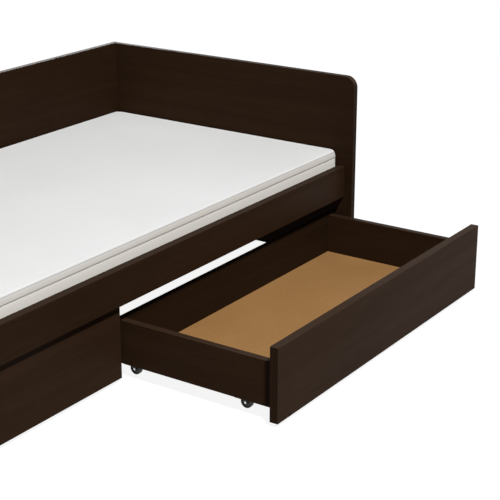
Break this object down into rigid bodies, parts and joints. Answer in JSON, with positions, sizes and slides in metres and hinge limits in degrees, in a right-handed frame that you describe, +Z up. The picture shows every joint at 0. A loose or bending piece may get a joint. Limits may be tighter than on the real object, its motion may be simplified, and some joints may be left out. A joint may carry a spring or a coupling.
{
  "type": "storage daybed",
  "caption": "Single daybed of dark laminated boards with a tall back and ends, low front rail, slatted base, foam mattress and rolling under-bed drawers on castors.",
  "frame": {"origin": "on the floor under the middle of the bed frame's footprint, at the centre foot's underside", "axes": "+X along the bed towards the right end panel, +Y from the front rail towards the back panel, +Z up"},
  "size_m": [2.046, 1.2836, 0.552],
  "materials": {
    "dark_laminate": "satin wenge laminate with fine straight grain and matching edge banding",
    "hardboard": "smooth tan hardboard",
    "slat_pine": "planed softwood",
    "webbing": "woven polyester tape",
    "mattress_cover": "fine white knitted cover over foam",
    "black_plastic": "moulded black plastic",
    "wheel_plastic": "dark grey moulded plastic",
    "zinc_steel": "bright zinc plate"
  },
  "bodies": {
    "bed_frame": {"end_panel_right": "dark_laminate", "end_panel_left": "dark_laminate", "back_panel": "dark_laminate", "front_rail": "dark_laminate", "bearer_front": "slat_pine", "bearer_back": "slat_pine", "centre_panel": "dark_laminate", "slat_01": "slat_pine", "slat_02": "slat_pine", "slat_03": "slat_pine", "slat_04": "slat_pine", "slat_05": "slat_pine", "slat_06": "slat_pine", "slat_07": "slat_pine", "slat_08": "slat_pine", "slat_09": "slat_pine", "slat_10": "slat_pine", "slat_11": "slat_pine", "slat_12": "slat_pine", "slat_13": "slat_pine", "slat_tapes": "webbing", "mattress": "mattress_cover", "panel_glides": "black_plastic", "centre_foot": "black_plastic", "frame_cam_locks": "zinc_steel", "frame_cam_bolts": "zinc_steel", "frame_screws": "zinc_steel"},
    "right_drawer": {"right_drawer_front": "dark_laminate", "right_drawer_side_left": "dark_laminate", "right_drawer_side_right": "dark_laminate", "right_drawer_back": "dark_laminate", "right_drawer_bottom": "hardboard", "right_drawer_castor_housings": "black_plastic", "right_drawer_castor_axles": "zinc_steel", "right_drawer_castor_screws": "zinc_steel", "right_drawer_bottom_nails": "zinc_steel", "right_drawer_cam_locks": "zinc_steel", "right_drawer_cam_bolts": "zinc_steel", "right_drawer_back_screws": "zinc_steel"},
    "right_drawer_wheel_front_left": {"right_drawer_wheel_front_left": "wheel_plastic"},
    "right_drawer_wheel_front_right": {"right_drawer_wheel_front_right": "wheel_plastic"},
    "right_drawer_wheel_back_left": {"right_drawer_wheel_back_left": "wheel_plastic"},
    "right_drawer_wheel_back_right": {"right_drawer_wheel_back_right": "wheel_plastic"},
    "left_drawer": {"left_drawer_front": "dark_laminate", "left_drawer_side_left": "dark_laminate", "left_drawer_side_right": "dark_laminate", "left_drawer_back": "dark_laminate", "left_drawer_bottom": "hardboard", "left_drawer_castor_housings": "black_plastic", "left_drawer_castor_axles": "zinc_steel", "left_drawer_castor_screws": "zinc_steel", "left_drawer_bottom_nails": "zinc_steel", "left_drawer_cam_locks": "zinc_steel", "left_drawer_cam_bolts": "zinc_steel", "left_drawer_back_screws": "zinc_steel"},
    "left_drawer_wheel_front_left": {"left_drawer_wheel_front_left": "wheel_plastic"},
    "left_drawer_wheel_front_right": {"left_drawer_wheel_front_right": "wheel_plastic"},
    "left_drawer_wheel_back_left": {"left_drawer_wheel_back_left": "wheel_plastic"},
    "left_drawer_wheel_back_right": {"left_drawer_wheel_back_right": "wheel_plastic"}
  },
  "joints": [
    {"name": "right_drawer_slide", "type": "slide", "parent": "bed_frame", "child": "right_drawer", "axis": [0, -1, 0], "range_m": [-0.439, 0.161]},
    {"name": "right_drawer_wheel_front_left_spin", "type": "hinge", "parent": "right_drawer", "child": "right_drawer_wheel_front_left", "pos_m": [0.053, -0.72675, 0.015], "axis": [1, 0, 0], "continuous": true},
    {"name": "right_drawer_wheel_front_right_spin", "type": "hinge", "parent": "right_drawer", "child": "right_drawer_wheel_front_right", "pos_m": [0.951, -0.72675, 0.015], "axis": [1, 0, 0], "continuous": true},
    {"name": "right_drawer_wheel_back_left_spin", "type": "hinge", "parent": "right_drawer", "child": "right_drawer_wheel_back_left", "pos_m": [0.053, -0.40375, 0.015], "axis": [1, 0, 0], "continuous": true},
    {"name": "right_drawer_wheel_back_right_spin", "type": "hinge", "parent": "right_drawer", "child": "right_drawer_wheel_back_right", "pos_m": [0.951, -0.40375, 0.015], "axis": [1, 0, 0], "continuous": true},
    {"name": "left_drawer_slide", "type": "slide", "parent": "bed_frame", "child": "left_drawer", "axis": [0, -1, 0], "range_m": [0, 0.6]},
    {"name": "left_drawer_wheel_front_left_spin", "type": "hinge", "parent": "left_drawer", "child": "left_drawer_wheel_front_left", "pos_m": [-0.951, -0.28775, 0.015], "axis": [1, 0, 0], "continuous": true},
    {"name": "left_drawer_wheel_front_right_spin", "type": "hinge", "parent": "left_drawer", "child": "left_drawer_wheel_front_right", "pos_m": [-0.053, -0.28775, 0.015], "axis": [1, 0, 0], "continuous": true},
    {"name": "left_drawer_wheel_back_left_spin", "type": "hinge", "parent": "left_drawer", "child": "left_drawer_wheel_back_left", "pos_m": [-0.951, 0.03525, 0.015], "axis": [1, 0, 0], "continuous": true},
    {"name": "left_drawer_wheel_back_right_spin", "type": "hinge", "parent": "left_drawer", "child": "left_drawer_wheel_back_right", "pos_m": [-0.053, 0.03525, 0.015], "axis": [1, 0, 0], "continuous": true}
  ],
  "couplings": [
    {"joint": "right_drawer_wheel_front_left_spin", "follows": "right_drawer_slide", "rad_per_m": 66.667},
    {"joint": "right_drawer_wheel_front_right_spin", "follows": "right_drawer_slide", "rad_per_m": 66.667},
    {"joint": "right_drawer_wheel_back_left_spin", "follows": "right_drawer_slide", "rad_per_m": 66.667},
    {"joint": "right_drawer_wheel_back_right_spin", "follows": "right_drawer_slide", "rad_per_m": 66.667},
    {"joint": "left_drawer_wheel_front_left_spin", "follows": "left_drawer_slide", "rad_per_m": 66.667},
    {"joint": "left_drawer_wheel_front_right_spin", "follows": "left_drawer_slide", "rad_per_m": 66.667},
    {"joint": "left_drawer_wheel_back_left_spin", "follows": "left_drawer_slide", "rad_per_m": 66.667},
    {"joint": "left_drawer_wheel_back_right_spin", "follows": "left_drawer_slide", "rad_per_m": 66.667}
  ]
}
